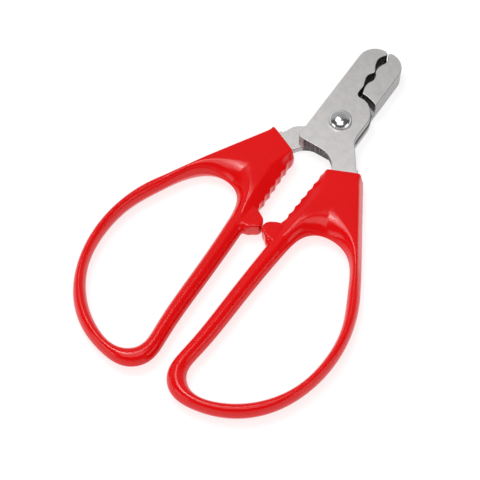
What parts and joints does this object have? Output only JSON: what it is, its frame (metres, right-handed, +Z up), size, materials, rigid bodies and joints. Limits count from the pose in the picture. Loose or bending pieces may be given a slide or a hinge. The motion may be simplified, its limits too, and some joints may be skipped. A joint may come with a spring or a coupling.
{
  "type": "pet nail clipper",
  "caption": "Scissor-action pet nail clipper: riveted plate levers with notched jaws and closed-loop moulded handles.",
  "frame": {"origin": "under the middle of the closed clipper's bounding box, on the surface that it rests on", "axes": "+Y from the handles to the tip of the jaws, +X towards the right-hand handle, +Z up, out of the face with the domed rivet head"},
  "size_m": [0.0946, 0.1524, 0.0115],
  "materials": {
    "steel": "fine ground, satin",
    "rivet": "polished",
    "handle": "glossy red moulding"
  },
  "bodies": {
    "front_lever": {"front_plate": "steel", "front_backing_plate": "steel", "pivot_rivet": "rivet", "right_handle": "handle"},
    "rear_lever": {"rear_plate": "steel", "rear_jaw_middle_plate": "steel", "rear_jaw_top_plate": "steel", "left_handle": "handle"}
  },
  "joints": [
    {"name": "jaw_pivot", "type": "hinge", "parent": "front_lever", "child": "rear_lever", "pos_m": [0, 0.0416, 0], "axis": [0, 0, -1], "range_deg": [0, 32]}
  ]
}
